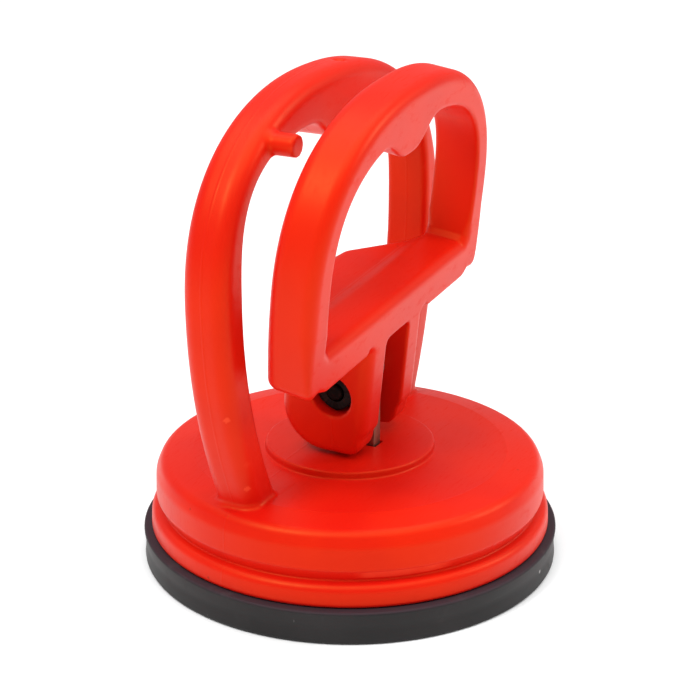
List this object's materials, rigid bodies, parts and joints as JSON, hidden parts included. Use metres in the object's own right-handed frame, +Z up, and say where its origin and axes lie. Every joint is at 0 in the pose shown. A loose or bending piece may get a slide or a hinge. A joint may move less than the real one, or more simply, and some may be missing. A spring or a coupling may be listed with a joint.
{
  "type": "vacuum suction cup",
  "caption": "Small hand vacuum suction cup: round casing with a fixed grip over a rubber pad, and a hinged cam lever that lifts the pad's middle to hold glass or sheet metal.",
  "frame": {"origin": "middle of the rubber pad's underside, on the surface that the cup stands on", "axes": "+Z up out of the pad, X along the lever's pivot, +Y towards the fixed grip and -Y towards the lever"},
  "size_m": [0.0598, 0.057, 0.0679],
  "materials": {
    "casing_plastic": "satin moulded plastic, orange red",
    "lever_plastic": "satin moulded plastic, orange red",
    "pad_rubber": "smooth charcoal rubber",
    "tongue_steel": "dull rolled steel with a brown tint",
    "plate_steel": "pressed sheet steel",
    "bolt_steel": "blackened steel",
    "spacer_steel": "plain turned steel"
  },
  "bodies": {
    "base": {"casing": "casing_plastic", "rubber_pad": "pad_rubber"},
    "plunger": {"pull_tongue": "tongue_steel", "insert_plate": "plate_steel"},
    "lever": {"lever": "lever_plastic", "pivot_bolt": "bolt_steel", "pivot_nut": "bolt_steel", "washers": "bolt_steel", "tongue_spacers": "spacer_steel"}
  },
  "joints": [
    {"name": "plunger_lift", "type": "slide", "parent": "base", "child": "plunger", "axis": [0, 0, 1], "range_m": [-0.00197, 0.00013], "deforming": ["rubber_pad"]},
    {"name": "lever_swing", "type": "hinge", "parent": "plunger", "child": "lever", "pos_m": [0, -0.0012, 0.0258], "axis": [0.9962, 0, 0.0872], "range_deg": [-3.2, 80]}
  ],
  "couplings": [
    {"joint": "plunger_lift", "follows": "lever_swing", "m_per_rad": -0.0014}
  ]
}
